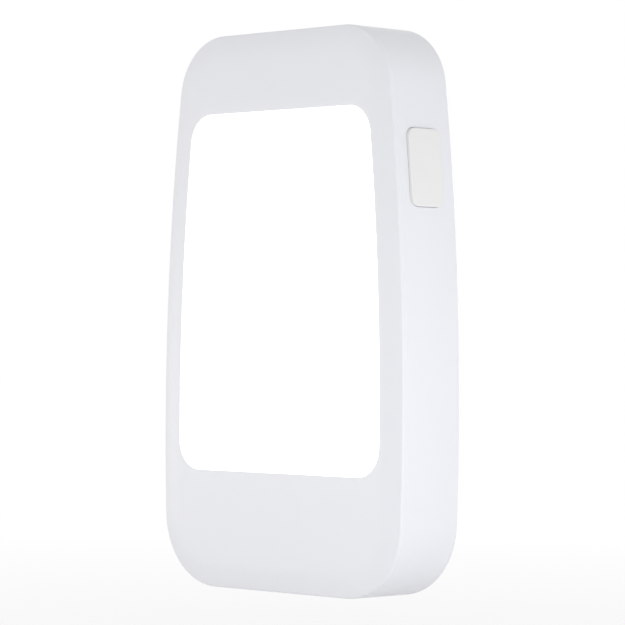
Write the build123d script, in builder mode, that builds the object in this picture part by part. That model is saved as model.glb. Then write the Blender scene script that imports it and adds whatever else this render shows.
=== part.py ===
from build123d import *
import os
from math import asin, cos, radians, sin, sqrt, tan

os.makedirs("parts", exist_ok=True)

# Plug in LED night light, in millimetres: +Z up, +Y into the wall, the front toward -Y.
# The origin is on the wall plane, midway between the two plug blades.
# A depth is a distance from the wall plane toward the room, and the planes are Plane.XZ.offset(depth).

# ---------------------------------------------------------------- driving dimensions

# Body outline
body_width = 70.0  # across the widest level
body_height = 115.0
body_depth = 17.5  # wall plane to the front
plug_height = 36.0  # bottom edge to the plug's axis
widest_height = 36.0  # bottom edge to the widest level
side_radius = 544.0  # the long arc of each side
top_corner = 13.0
bottom_corner = 15.2
front_fall = 1.0  # how far the front falls away toward its edge
front_fall_width = 3.0
front_fall_blend = 16.0  # radius from the flat of the front into its fall
front_edge_chamfer = 0.35
rear_edge_chamfer = 0.6

# Shells
cover_edge = 2.0  # height of the cover's edge, from the seam to the front
side_wall = 1.8
rear_wall = 2.0
front_wall = 2.0
cover_fit = 0.12  # gap between the cover's lip and the tray's wall
lip_wall = 1.2
lip_length = 2.2
hook_place = 12.0  # centreline to each snap hook at the top
hook_width = 6.0
hook_thickness = 1.2
hook_length = 7.0  # back of the cover to the tip of the hook
hook_barb = 0.7
hook_barb_height = 1.4
hook_gap = 0.15
ledge_reach = 0.8  # how far the ledge stands off the tray's wall
ledge_height = 1.2

# Window
window_bottom_height = 24.4  # bottom edge of the body to the window
window_top_drop = 16.4  # top edge of the body to the window
window_margin = 5.7  # side of the body to the window
window_corner = 6.0
lens_fit = 0.12
lens_wall = 1.6
lens_flange = 1.9  # how far the flange reaches behind the cover
lens_flange_thickness = 1.0

# Light box
flare = 2.6  # how much the light box narrows from the window to the board
reflector_wall = 1.2
reflector_foot = 1.8
reflector_foot_thickness = 1.0
mouth_step = 0.2  # the light box mouth stands this far inside the window

# LED board
led_board_back = 8.2
led_board_thickness = 1.0
led_length = 3.5
led_width = 2.8
led_thickness = 0.7
led_columns = 3
led_rows = 6
led_edge = 7.5  # light box wall to the outer LEDs
led_rest_size = (3.0, 9.0)
low_led_rest = (25.6, 40.0)  # from the centreline, and above the bottom edge
high_led_rest = (17.0, 21.0)  # from the centreline, and below the top edge

# Side button
button_drop = 28.9  # top edge of the body to the button's centre
button_rear_margin = 3.8  # wall plane to the button
button_front_margin = 2.4  # button to the seam
button_length = 15.7
button_corner = 2.0
button_proud = 0.7
button_wall = 1.2
button_gap = 0.15
button_edge_chamfer = 0.35
button_dish_radius = 3.0
button_dish_depth = 0.15
button_ear = 1.5  # reach of the ears behind the wall, above and below the opening
button_ear_thickness = 1.0
button_ear_gap = 0.3
button_stem_radius = 1.3
button_stem_length = 1.2  # past the ears

# Tactile switch behind the button
switch_depth = 5.3  # wall plane to the switch's axis
switch_size = 4.5
switch_base_height = 2.4
switch_well_radius = 1.8
switch_well_depth = 1.6
switch_cover_thickness = 0.3
switch_cover_skirt = 1.2
switch_cover_fit = 0.05
switch_height = 4.3  # board to the top of the plunger
plunger_radius = 1.2
plunger_flange_radius = 1.6
plunger_flange_height = 0.7
plunger_fit = 0.08
dome_radius = 1.7
dome_thickness = 0.12
dome_rise = 0.3
dome_crown_radius = 0.6
dome_rim = 0.3
stem_gap = 0.1  # stem of the button to the plunger
switch_board_thickness = 1.0
switch_board_length = 14.0
switch_board_low_edge = 2.5  # depth of the board's edge by the rear wall
switch_board_high_edge = 7.9
switch_slot_depth = 1.2  # how far the board's ends go into their holders
switch_slot_fit = 0.1
switch_holder_width = 4.0
switch_holder_thickness = 3.2
switch_holder_height = 7.2

# Plug, two flat blades
blade_spacing = 12.7
blade_thickness = 1.5
blade_length = 17.1
live_blade_width = 6.35
neutral_blade_width = 7.9
blade_tip_chamfer = 0.45
blade_tip_corner = 1.2
blade_hole_radius = 1.55
blade_hole_reach = 11.8  # wall plane to the hole
blade_fit = 0.1
shoulder_width = 10.4
shoulder_height = 1.6
tab_width = 4.0
tab_end = 7.0
plug_block_width = 21.0
plug_block_height = 19.0
retainer_width = 19.0
retainer_height = 17.0
retainer_thickness = 1.8
retainer_corner = 2.0
retainer_screw_offset = 5.6  # plug axis to each retainer screw, up and down

# Driver board in the chin
driver_board_back = 3.5
driver_board_thickness = 1.2
driver_board_width = 47.8
driver_board_bottom = 4.5  # above the bottom edge of the body
driver_board_top = 21.5
driver_groove_depth = 0.9
driver_groove_fit = 0.1
driver_holder_width = 2.6
driver_holder_height = 6.0
driver_holder_bottom = 7.0  # above the bottom edge of the body
driver_holder_top = 20.5
driver_stop_width = 30.0  # rib that the board's lower edge stands on
driver_stop_thickness = 1.4
lead_pad_height = 19.5

# Electronic parts, each placed from the centreline and above the bottom edge
film_centre = (-13.4, 10.6)
film_size = (17.5, 10.5, 6.0)
film_edge_chamfer = 0.4
electrolytic_centre = (16.5, 10.5)
electrolytic_radius = 4.0
electrolytic_length = 11.5
electrolytic_edge_chamfer = 0.4
electrolytic_rest = 0.1
rectifier_centre = (1.0, 13.2)
rectifier_size = (4.7, 3.9, 2.4)
rectifier_span = 6.8
rectifier_pitch = 2.54
rectifier_legs = 2
chip_centre = (1.0, 7.2)
chip_size = (3.9, 4.9, 1.5)
chip_span = 6.0
chip_pitch = 1.27
chip_legs = 4
resistor_centres = [(-11.5, 18.9), (-1.6, 18.9), (2.2, 18.9), (12.0, 18.9)]
resistor_size = (3.2, 1.6, 0.6)
fuse_centre = (9.1, 11.8)
fuse_radius = 1.5
fuse_length = 8.0
fuse_rest = 0.3
fuse_wire_radius = 0.35
fuse_wire_reach = 1.8
fuse_wire_sink = 0.5
leg_thickness = 0.25
leg_width = 0.6
package_lift = 0.1
package_chamfer = 0.2

# Inner leads
lead_radius = 0.6
wire_sides = 6
lead_depth = 6.3
bend_share = 0.45
led_lead_places = (-17.5, -15.5)
switch_lead_places = (15.5, 17.5)
switch_lead_drops = (1.9, 4.4)  # button's centre to the leads' ends
connector_bottom = 46.0  # above the bottom edge of the body
connector_size = (6.0, 5.5, 3.3)
connector_wall = 0.8
connector_dish = 0.6

# Screws
case_post = (28.0, 15.0)  # from the centreline, and above the bottom edge
case_post_radius = 3.6
case_post_height = 6.4
case_boss_radius = 3.0
case_boss_gap = 0.2
case_screw_radius = 1.3
case_screw_length = 9.0
case_screw_seat = 3.0
case_head_radius = 2.3
case_head_height = 1.8
head_clearance = 0.3
retainer_screw_radius = 1.0
retainer_screw_length = 4.2
retainer_head_radius = 1.8
retainer_head_height = 1.2
screw_fit = 0.05
screw_hole_rest = 0.3  # hole left beyond a screw's tip
recess_width = 0.5

# ---------------------------------------------------------------- derived places

bottom_edge = -plug_height
top_edge = bottom_edge + body_height
widest_level = bottom_edge + widest_height
window_bottom = bottom_edge + window_bottom_height
window_top = top_edge - window_top_drop
housing_depth = body_depth - cover_edge
cover_back = body_depth - front_wall
flange_back = cover_back - lens_flange_thickness
led_board_front = led_board_back + led_board_thickness
driver_board_front = driver_board_back + driver_board_thickness
driver_board_level = bottom_edge + driver_board_bottom
hook_end = cover_back - hook_length
button_level = top_edge - button_drop
button_width = housing_depth - button_rear_margin - button_front_margin
button_depth = button_rear_margin + button_width / 2
shoulder_top = rear_wall + shoulder_height
retainer_front = shoulder_top + retainer_thickness


def half_width_at(level):
    """Half the body's width at a level, from the long arc of its side."""
    drop = level - widest_level
    return body_width / 2 - side_radius + sqrt(side_radius**2 - drop**2)


def panel(depth, bottom, top, margin, low_corner, high_corner):
    """A panel facing the room whose sides run a margin inside the body's sides."""
    stations = [(half_width_at(level) - margin, level) for level in (bottom, (bottom + top) / 2, top)]
    with BuildSketch(Plane.XZ.offset(depth)) as sketch:
        with BuildLine():
            right = ThreePointArc(*stations)
            left = ThreePointArc(*[(-across, level) for across, level in reversed(stations)])
            Line(right @ 1, left @ 0)
            Line(left @ 1, right @ 0)
        make_face()
        fillet(sketch.vertices().group_by(Axis.Y)[0], low_corner)
        fillet(sketch.vertices().group_by(Axis.Y)[-1], high_corner)
    return sketch.sketch


def outline(depth, inset):
    """The body's outline, drawn in evenly by an inset."""
    return panel(
        depth, bottom_edge + inset, top_edge - inset, inset, bottom_corner - inset, top_corner - inset
    )


def window(depth, grow, corner_shift=None):
    """The window's outline, grown evenly, with the corners grown as much unless a shift is given."""
    corner = window_corner + (grow if corner_shift is None else corner_shift)
    return panel(depth, window_bottom - grow, window_top + grow, window_margin - grow, corner, corner)


def both_sides(place):
    """A place given from the centreline and above the bottom edge, and its mirror image."""
    across, height = place
    return [(across, bottom_edge + height), (-across, bottom_edge + height)]


def at(place):
    """A place given from the centreline and above the bottom edge, in the body's frame."""
    return (place[0], bottom_edge + place[1])


def finish(piece, name):
    """Label a finished piece and write its file."""
    piece.label = name
    export_step(piece, f"parts/{name}.step")


case_posts = both_sides(case_post)
led_rests = both_sides(low_led_rest) + both_sides((high_led_rest[0], body_height - high_led_rest[1]))
blade_places = {"live": blade_spacing / 2, "neutral": -blade_spacing / 2}
blade_widths = {"live": live_blade_width, "neutral": neutral_blade_width}
retainer_screws_at = [(0, retainer_screw_offset), (0, -retainer_screw_offset)]
hook_places = [-hook_place, hook_place]

# Side wall at the button's level, and the stack from the wall inward to the switch board
wall_outside = half_width_at(button_level)
ear_inset = side_wall + button_ear_gap
stem_end = wall_outside - ear_inset - button_ear_thickness - button_stem_length
plunger_top = stem_end - stem_gap
switch_seat = plunger_top - switch_height
switch_board_back = switch_seat - switch_board_thickness

# ---------------------------------------------------------------- rear housing

# The tray: walls, back and the openings through them
with BuildPart() as rear_housing:
    extrude(outline(0, 0), amount=housing_depth)
    chamfer(rear_housing.edges().group_by(Axis.Y)[-1], rear_edge_chamfer)
    extrude(outline(rear_wall, side_wall), amount=housing_depth - rear_wall, mode=Mode.SUBTRACT)

    # Button opening, square through the right wall
    with BuildSketch(Plane.YZ.offset(wall_outside - 3 * side_wall)):
        with Locations((-button_depth, button_level)):
            RectangleRounded(
                button_width + 2 * button_gap, button_length + 2 * button_gap, button_corner + button_gap
            )
    extrude(amount=6 * side_wall, mode=Mode.SUBTRACT)

    # Posts for the case screws, and the rests under the LED board
    with BuildSketch(Plane.XZ.offset(rear_wall)):
        with Locations(*case_posts):
            Circle(case_post_radius)
    extrude(amount=case_post_height - rear_wall)
    with BuildSketch(Plane.XZ.offset(rear_wall)):
        with Locations(*led_rests):
            Rectangle(*led_rest_size)
    extrude(amount=led_board_back - rear_wall)

    # Grooved holders at the ends of the driver board, and the rib it stands on
    holder_height = driver_holder_top - driver_holder_bottom
    with BuildSketch(Plane.XZ.offset(rear_wall)):
        for side in (-1, 1):
            holder_across = driver_board_width / 2 - driver_groove_depth + driver_holder_width / 2
            holder_level = bottom_edge + driver_holder_bottom + holder_height / 2
            with Locations((side * holder_across, holder_level)):
                Rectangle(driver_holder_width, holder_height)
        with Locations((0, driver_board_level - driver_stop_thickness / 2)):
            Rectangle(driver_stop_width, driver_stop_thickness)
    extrude(amount=driver_holder_height - rear_wall)
    with BuildSketch(Plane.XZ.offset(driver_board_back - driver_groove_fit)):
        with Locations((0, driver_board_level)):
            Rectangle(
                driver_board_width + 2 * driver_groove_fit,
                driver_holder_top,
                align=(Align.CENTER, Align.MIN),
            )
    extrude(amount=driver_board_thickness + 2 * driver_groove_fit, mode=Mode.SUBTRACT)

    # Block that holds the blades' shoulders
    with BuildSketch(Plane.XZ.offset(rear_wall)):
        RectangleRounded(plug_block_width, plug_block_height, retainer_corner)
    extrude(amount=shoulder_height)

    # Holders for the ends of the switch board
    with BuildSketch(Plane.XZ.offset(rear_wall)):
        for end in (-1, 1):
            holder_level = button_level + end * (
                switch_board_length / 2 - switch_slot_depth + switch_holder_thickness / 2
            )
            with Locations((switch_board_back + switch_board_thickness / 2, holder_level)):
                Rectangle(switch_holder_width, switch_holder_thickness)
    extrude(amount=switch_holder_height - rear_wall)
    with BuildSketch(Plane.XZ.offset(switch_board_low_edge - switch_slot_fit)):
        with Locations((switch_board_back + switch_board_thickness / 2, button_level)):
            Rectangle(
                switch_board_thickness + 2 * switch_slot_fit, switch_board_length + 2 * switch_slot_fit
            )
    extrude(amount=switch_holder_height - switch_board_low_edge + 2 * switch_slot_fit, mode=Mode.SUBTRACT)

    # Case screw holes, with a counterbore from the back
    with BuildSketch(Plane.XZ):
        with Locations(*case_posts):
            Circle(case_screw_radius + head_clearance)
    extrude(amount=case_post_height, mode=Mode.SUBTRACT)
    with BuildSketch(Plane.XZ):
        with Locations(*case_posts):
            Circle(case_head_radius + head_clearance)
    extrude(amount=case_screw_seat, mode=Mode.SUBTRACT)

    # Pilot holes for the retainer's screws
    pilot = retainer_screw_length - retainer_thickness + screw_hole_rest
    with BuildSketch(Plane.XZ.offset(shoulder_top - pilot)):
        with Locations(*retainer_screws_at):
            Circle(retainer_screw_radius + screw_fit)
    extrude(amount=pilot, mode=Mode.SUBTRACT)

    # Ledges on the top wall that the cover's hooks catch under
    for across in hook_places:
        with BuildSketch(Plane.XZ.offset(hook_end + hook_barb_height + hook_gap)):
            with Locations((across, top_edge - side_wall)):
                Rectangle(hook_width + ledge_reach, ledge_reach, align=(Align.CENTER, Align.MAX))
        extrude(amount=ledge_height)

    # Blade slots through the back, and pockets for the shoulders
    for side, across in blade_places.items():
        with BuildSketch(Plane.XZ):
            with Locations((across, 0)):
                Rectangle(blade_thickness + 2 * blade_fit, blade_widths[side] + 2 * blade_fit)
        extrude(amount=rear_wall, mode=Mode.SUBTRACT)
        with BuildSketch(Plane.XZ.offset(rear_wall)):
            with Locations((across, 0)):
                Rectangle(blade_thickness + 2 * blade_fit, shoulder_width + 2 * blade_fit)
        extrude(amount=shoulder_height, mode=Mode.SUBTRACT)

finish(rear_housing.part, "rear_housing")

# ---------------------------------------------------------------- front cover

with BuildPart() as front_cover:
    extrude(outline(housing_depth, 0), amount=body_depth - housing_depth)

    # The front is flat in the middle, falls away toward its edge and ends in a small bevel
    front = front_cover.faces().sort_by(Axis.Y)[0]
    chamfer(front.edges(), front_fall_width, front_fall, reference=front)
    chamfer(front_cover.edges().group_by(Axis.Y)[2], front_edge_chamfer)
    fillet(front_cover.edges().group_by(Axis.Y)[0], front_fall_blend)

    # Inner step and lip that locate the cover in the tray
    extrude(outline(cover_back - lip_length, side_wall + cover_fit), amount=lip_length + front_wall / 2)
    extrude(
        outline(cover_back - lip_length, side_wall + cover_fit + lip_wall),
        amount=lip_length,
        mode=Mode.SUBTRACT,
    )

    # Snap hooks at the top, barbed outward below the tray's ledges
    hook_back = top_edge - side_wall - ledge_reach - hook_gap
    for across in hook_places:
        with BuildSketch(Plane.YZ.offset(across - hook_width / 2)):
            with BuildLine():
                Polyline(
                    (-cover_back, hook_back),
                    (-hook_end - hook_barb_height, hook_back),
                    (-hook_end - hook_barb_height, hook_back + hook_barb),
                    (-hook_end, hook_back),
                    (-hook_end, hook_back - hook_thickness),
                    (-cover_back, hook_back - hook_thickness),
                    close=True,
                )
            make_face()
        extrude(amount=hook_width)

    # Bosses that take the case screws
    boss_back = case_post_height + case_boss_gap
    with BuildSketch(Plane.XZ.offset(boss_back)):
        with Locations(*case_posts):
            Circle(case_boss_radius)
    extrude(amount=cover_back - boss_back)
    screw_tip = case_screw_seat + case_screw_length
    with BuildSketch(Plane.XZ.offset(boss_back)):
        with Locations(*case_posts):
            Circle(case_screw_radius + screw_fit)
    extrude(amount=screw_tip + screw_hole_rest - boss_back, mode=Mode.SUBTRACT)

    # Window opening
    extrude(window(cover_back, 0), amount=2 * front_wall, mode=Mode.SUBTRACT)

finish(front_cover.part, "front_cover")

# ---------------------------------------------------------------- window lens and light box

with BuildPart() as window_lens:
    extrude(window(cover_back, -lens_fit), amount=body_depth - cover_back)
    extrude(window(flange_back, lens_flange), amount=lens_flange_thickness)
    hollow = body_depth - lens_wall - flange_back
    extrude(window(flange_back, -lens_fit - lens_wall), amount=hollow, mode=Mode.SUBTRACT)

finish(window_lens.part, "window_lens")

# The light box is a flared ring: wide at the window, narrow at the LED board, with a foot on the board.
with BuildPart() as reflector_frame:
    loft(
        [
            window(led_board_front, reflector_wall - mouth_step - flare, 0),
            window(flange_back, reflector_wall - mouth_step, 0),
        ],
        ruled=True,
    )
    foot_grow = reflector_wall - mouth_step - flare + reflector_foot
    extrude(window(led_board_front, foot_grow, 0), amount=reflector_foot_thickness)
    loft(
        [window(led_board_front, -mouth_step - flare, -1), window(flange_back, -mouth_step, -1)],
        ruled=True,
        mode=Mode.SUBTRACT,
    )

finish(reflector_frame.part, "reflector_frame")

# ---------------------------------------------------------------- LED board

with BuildPart() as led_board:
    extrude(window(led_board_back, foot_grow, 0), amount=led_board_thickness)

finish(led_board.part, "led_board")

led_low = window_bottom + flare + led_edge
led_high = window_top - flare - led_edge
led_places = []
for row in range(led_rows):
    led_level = led_low + row * (led_high - led_low) / (led_rows - 1)
    led_reach = half_width_at(led_level) - window_margin - flare - led_edge
    for column in range(led_columns):
        led_places.append((led_reach * (2 * column / (led_columns - 1) - 1), led_level))

with BuildPart() as leds:
    with BuildSketch(Plane.XZ.offset(led_board_front)):
        with Locations(*led_places):
            Rectangle(led_width, led_length)
    extrude(amount=led_thickness)

finish(leds.part, "leds")

# ---------------------------------------------------------------- side button

# The pad is a hollow cap whose outside follows the leaning side wall. It has an ear behind the wall
# above and below the opening, and a stem to the switch.
with BuildPart() as button_core:
    with BuildSketch(Plane.YZ.offset(stem_end)):
        with Locations((-button_depth, button_level)):
            RectangleRounded(
                button_width - 2 * button_wall,
                button_length - 2 * button_wall,
                button_corner - button_wall / 2,
            )
    extrude(amount=2 * side_wall + 2 * button_ear_thickness)
    extrude(outline(0, button_wall - button_proud), amount=body_depth, mode=Mode.INTERSECT)

face_lean = asin((button_level - widest_level) / side_radius)
dish_ball = (button_dish_radius**2 + button_dish_depth**2) / (2 * button_dish_depth)
dish_reach = side_radius + button_proud + dish_ball - button_dish_depth
dish_centre = (
    body_width / 2 - side_radius + dish_reach * cos(face_lean),
    -button_depth,
    widest_level + dish_reach * sin(face_lean),
)

with BuildPart() as side_button:
    with BuildSketch(Plane.YZ.offset(stem_end)):
        with Locations((-button_depth, button_level)):
            Rectangle(button_width - 2 * button_corner, button_length + 2 * (button_gap + button_ear))
    extrude(amount=body_depth)
    extrude(outline(0, ear_inset), amount=body_depth, mode=Mode.INTERSECT)
    with BuildSketch(Plane.YZ.offset(stem_end)):
        with Locations((-button_depth, button_level)):
            RectangleRounded(button_width, button_length, button_corner)
    extrude(amount=body_depth)
    extrude(outline(0, -button_proud), amount=body_depth, mode=Mode.INTERSECT)
    chamfer(side_button.faces().sort_by(Axis.X)[-1].edges(), button_edge_chamfer)
    with Locations(dish_centre):
        Sphere(dish_ball, mode=Mode.SUBTRACT)
    extrude(outline(0, ear_inset + button_ear_thickness), amount=body_depth, mode=Mode.SUBTRACT)
    add(button_core.part, mode=Mode.SUBTRACT)
    with BuildSketch(Plane.YZ.offset(stem_end)):
        with Locations((-switch_depth, button_level)):
            Circle(button_stem_radius)
    extrude(amount=wall_outside + button_proud - button_wall / 2 - stem_end)

finish(side_button.part, "side_button")

# ---------------------------------------------------------------- tactile switch and its board

with BuildPart() as switch_board:
    board_reach = switch_board_high_edge - switch_board_low_edge
    with BuildSketch(Plane.YZ.offset(switch_board_back)):
        with Locations((-switch_board_low_edge - board_reach / 2, button_level)):
            Rectangle(board_reach, switch_board_length)
    extrude(amount=switch_board_thickness)

finish(switch_board.part, "switch_board")

base_top = switch_seat + switch_base_height
well_floor = base_top - switch_well_depth

with BuildPart() as switch_base:
    with BuildSketch(Plane.YZ.offset(switch_seat)):
        with Locations((-switch_depth, button_level)):
            Rectangle(switch_size, switch_size)
    extrude(amount=switch_base_height)
    with BuildSketch(Plane.YZ.offset(well_floor)):
        with Locations((-switch_depth, button_level)):
            Circle(switch_well_radius)
    extrude(amount=switch_well_depth, mode=Mode.SUBTRACT)

finish(switch_base.part, "switch_base")

# A folded metal cap over the base, with the plunger through its hole
with BuildPart() as switch_cover:
    inside = switch_size + 2 * switch_cover_fit
    outside = inside + 2 * switch_cover_thickness
    with BuildSketch(Plane.YZ.offset(base_top - switch_cover_skirt)):
        with Locations((-switch_depth, button_level)):
            RectangleRounded(outside, outside, switch_cover_thickness)
    extrude(amount=switch_cover_skirt + switch_cover_thickness)
    with BuildSketch(Plane.YZ.offset(base_top - switch_cover_skirt)):
        with Locations((-switch_depth, button_level)):
            Rectangle(inside, inside)
    extrude(amount=switch_cover_skirt, mode=Mode.SUBTRACT)
    with BuildSketch(Plane.YZ.offset(base_top)):
        with Locations((-switch_depth, button_level)):
            Circle(plunger_radius + plunger_fit)
    extrude(amount=switch_cover_thickness, mode=Mode.SUBTRACT)

finish(switch_cover.part, "switch_cover")

# The snap dome, a thin cone with a flat crown and its rim on the floor of the well
with BuildPart() as switch_dome:
    with BuildSketch(Plane.XZ.offset(switch_depth)):
        with BuildLine():
            Polyline(
                (well_floor, button_level + dome_radius),
                (well_floor + dome_rise, button_level + dome_crown_radius),
                (well_floor + dome_rise, button_level),
                (well_floor + dome_rise - dome_thickness, button_level),
                (well_floor + dome_rise - dome_thickness, button_level + dome_crown_radius),
                (well_floor, button_level + dome_radius - dome_rim),
                close=True,
            )
        make_face()
    revolve(axis=Axis((0, -switch_depth, button_level), (1, 0, 0)))

finish(switch_dome.part, "switch_dome")

with BuildPart() as switch_plunger:
    flange_top = base_top - plunger_fit
    with BuildSketch(Plane.YZ.offset(flange_top - plunger_flange_height)):
        with Locations((-switch_depth, button_level)):
            Circle(plunger_flange_radius)
    extrude(amount=plunger_flange_height)
    with BuildSketch(Plane.YZ.offset(flange_top)):
        with Locations((-switch_depth, button_level)):
            Circle(plunger_radius)
    extrude(amount=plunger_top - flange_top)

finish(switch_plunger.part, "switch_plunger")

# ---------------------------------------------------------------- plug blades and their retainer


def plug_blade(across, width):
    """A flat blade with a rounded, bevelled tip, a shoulder inside the back and a soldering tab."""
    with BuildPart() as blade:
        with BuildSketch(Plane.YZ.offset(across - blade_thickness / 2)) as profile:
            with Locations((-rear_wall, 0)):
                Rectangle(rear_wall + blade_length, width, align=(Align.MIN, Align.CENTER))
            fillet(profile.vertices().group_by(Axis.X)[-1], blade_tip_corner)
            with Locations((-shoulder_top, 0)):
                Rectangle(shoulder_height, shoulder_width, align=(Align.MIN, Align.CENTER))
            with Locations((-tab_end, 0)):
                Rectangle(tab_end - shoulder_top, tab_width, align=(Align.MIN, Align.CENTER))
            with Locations((blade_hole_reach, 0)):
                Circle(blade_hole_radius, mode=Mode.SUBTRACT)
        extrude(amount=blade_thickness)
        tip = blade.faces().sort_by(Axis.Y)[-1]
        chamfer(tip.edges().filter_by(Axis.Z), blade_tip_chamfer)
    return blade.part


for side, across in blade_places.items():
    finish(plug_blade(across, blade_widths[side]), f"plug_blade_{side}")

with BuildPart() as blade_retainer:
    with BuildSketch(Plane.XZ.offset(shoulder_top)):
        RectangleRounded(retainer_width, retainer_height, retainer_corner)
        with Locations(*[(across, 0) for across in blade_places.values()]):
            Rectangle(blade_thickness + 2 * blade_fit, tab_width + 2 * blade_fit, mode=Mode.SUBTRACT)
        with Locations(*retainer_screws_at):
            Circle(retainer_screw_radius + screw_fit, mode=Mode.SUBTRACT)
    extrude(amount=retainer_thickness)

finish(blade_retainer.part, "blade_retainer")

# ---------------------------------------------------------------- driver board and its parts

with BuildPart() as driver_board:
    with BuildSketch(Plane.XZ.offset(driver_board_back)):
        with Locations((0, driver_board_level)):
            Rectangle(
                driver_board_width,
                driver_board_top - driver_board_bottom,
                align=(Align.CENTER, Align.MIN),
            )
    extrude(amount=driver_board_thickness)

finish(driver_board.part, "driver_board")

with BuildPart() as film_capacitor:
    with BuildSketch(Plane.XZ.offset(driver_board_front)):
        with Locations(at(film_centre)):
            Rectangle(film_size[0], film_size[1])
    extrude(amount=film_size[2])
    chamfer(film_capacitor.edges().group_by(Axis.Y)[0], film_edge_chamfer)

finish(film_capacitor.part, "film_capacitor")

with BuildPart() as electrolytic_capacitor:
    can_bottom = at(electrolytic_centre)[1] - electrolytic_length / 2
    can_axis = (electrolytic_centre[0], -driver_board_front - electrolytic_rest - electrolytic_radius)
    with BuildSketch(Plane.XY.offset(can_bottom)):
        with Locations(can_axis):
            Circle(electrolytic_radius)
    extrude(amount=electrolytic_length)
    chamfer(electrolytic_capacitor.edges().group_by(Axis.Z)[0], electrolytic_edge_chamfer)

finish(electrolytic_capacitor.part, "electrolytic_capacitor")


def legged_package(centre, size, span, pitch, legs, sideways):
    """A moulded package with a row of stepped legs on two sides, down to the board."""
    across, level = at(centre)
    drop = size[2] / 2
    with BuildPart() as package:
        with Locations((across, -driver_board_front - size[2] / 2 - package_lift, level)):
            Box(size[0], size[2], size[1])
        chamfer(package.edges().group_by(Axis.Y)[0], package_chamfer)
        for side in (-1, 1):
            for leg in range(legs):
                slide = pitch * (leg - (legs - 1) / 2)
                body_edge = (size[0] if sideways else size[1]) / 2
                reach = span / 2 - body_edge + leg_thickness
                arm = side * (span / 2 - reach / 2)
                foot = side * (span / 2 - leg_thickness / 2)
                arm_place = (arm, slide) if sideways else (slide, arm)
                foot_place = (foot, slide) if sideways else (slide, foot)
                arm_size = (reach, leg_width) if sideways else (leg_width, reach)
                foot_size = (leg_thickness, leg_width) if sideways else (leg_width, leg_thickness)
                with Locations((across + arm_place[0], -driver_board_front - drop, level + arm_place[1])):
                    Box(arm_size[0], leg_thickness, arm_size[1])
                with Locations((across + foot_place[0], -driver_board_front, level + foot_place[1])):
                    Box(foot_size[0], drop, foot_size[1], align=(Align.CENTER, Align.MAX, Align.CENTER))
    return package.part


finish(
    legged_package(rectifier_centre, rectifier_size, rectifier_span, rectifier_pitch, rectifier_legs, False),
    "bridge_rectifier",
)
finish(legged_package(chip_centre, chip_size, chip_span, chip_pitch, chip_legs, True), "driver_chip")

with BuildPart() as chip_resistors:
    with BuildSketch(Plane.XZ.offset(driver_board_front)):
        with Locations(*[at(centre) for centre in resistor_centres]):
            Rectangle(resistor_size[0], resistor_size[1])
    extrude(amount=resistor_size[2])

finish(chip_resistors.part, "chip_resistors")


def bend_radii(route):
    """The largest easy radius at each corner of a route, from its shorter neighbouring run."""
    points = [Vector(*point) for point in route]
    runs = [end - start for start, end in zip(points, points[1:])]
    return [
        bend_share * min(before.length, after.length) / tan(radians(before.get_angle(after)) / 2)
        for before, after in zip(runs, runs[1:])
    ]


def wire(route, radius):
    """A round wire along straight runs joined by tangent arcs."""
    with BuildPart() as length_of_wire:
        with BuildLine() as path:
            FilletPolyline(*route, radius=bend_radii(route))
        with BuildSketch(Plane(origin=path.line @ 0, z_dir=path.line % 0)):
            RegularPolygon(radius, wire_sides)
        sweep(path=path.line)
    return length_of_wire.part


# The fusible resistor stands off the board on its two bent wires
with BuildPart() as fusible_resistor:
    fuse_across, fuse_level = at(fuse_centre)
    fuse_axis = -driver_board_front - fuse_rest - fuse_radius
    with BuildSketch(Plane.XY.offset(fuse_level - fuse_length / 2)):
        with Locations((fuse_across, fuse_axis)):
            Circle(fuse_radius)
    extrude(amount=fuse_length)
    for end in (-1, 1):
        end_level = fuse_level + end * fuse_length / 2
        outer_level = end_level + end * fuse_wire_reach
        route = [
            (fuse_across, fuse_axis, end_level - end * fuse_wire_sink),
            (fuse_across, fuse_axis, outer_level),
            (fuse_across, -driver_board_front, outer_level),
        ]
        add(wire(route, fuse_wire_radius))

finish(fusible_resistor.part, "fusible_resistor")

# ---------------------------------------------------------------- inner leads

with BuildPart() as led_connector:
    connector_across = (led_lead_places[0] + led_lead_places[1]) / 2
    connector_level = bottom_edge + connector_bottom
    with BuildSketch(Plane.XZ.offset(led_board_back - connector_size[2])):
        with Locations((connector_across, connector_level + connector_size[1] / 2)):
            Rectangle(connector_size[0], connector_size[1])
    extrude(amount=connector_size[2])
    with BuildSketch(Plane.XZ.offset(led_board_back - connector_size[2])):
        with Locations((connector_across, connector_level + connector_size[1] / 2)):
            Rectangle(connector_size[0] - 2 * connector_wall, connector_size[1] - 2 * connector_wall)
    extrude(amount=connector_dish, mode=Mode.SUBTRACT)

finish(led_connector.part, "led_connector")

pad_level = bottom_edge + lead_pad_height

for side, across in blade_places.items():
    route = [
        (across, -lead_depth, -tab_width / 2),
        (across, -lead_depth, pad_level),
        (across, -driver_board_front, pad_level),
    ]
    finish(wire(route, lead_radius), f"{side}_lead")

for name, across in zip(("positive", "negative"), led_lead_places):
    route = [
        (across, -lead_depth, connector_level),
        (across, -lead_depth, pad_level),
        (across, -driver_board_front, pad_level),
    ]
    finish(wire(route, lead_radius), f"led_lead_{name}")

for name, across, drop in zip(("signal", "return"), switch_lead_places, switch_lead_drops):
    route = [
        (switch_board_back, -lead_depth, button_level - drop),
        (across, -lead_depth, button_level - drop),
        (across, -lead_depth, pad_level),
        (across, -driver_board_front, pad_level),
    ]
    finish(wire(route, lead_radius), f"switch_lead_{name}")

# ---------------------------------------------------------------- screws


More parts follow.
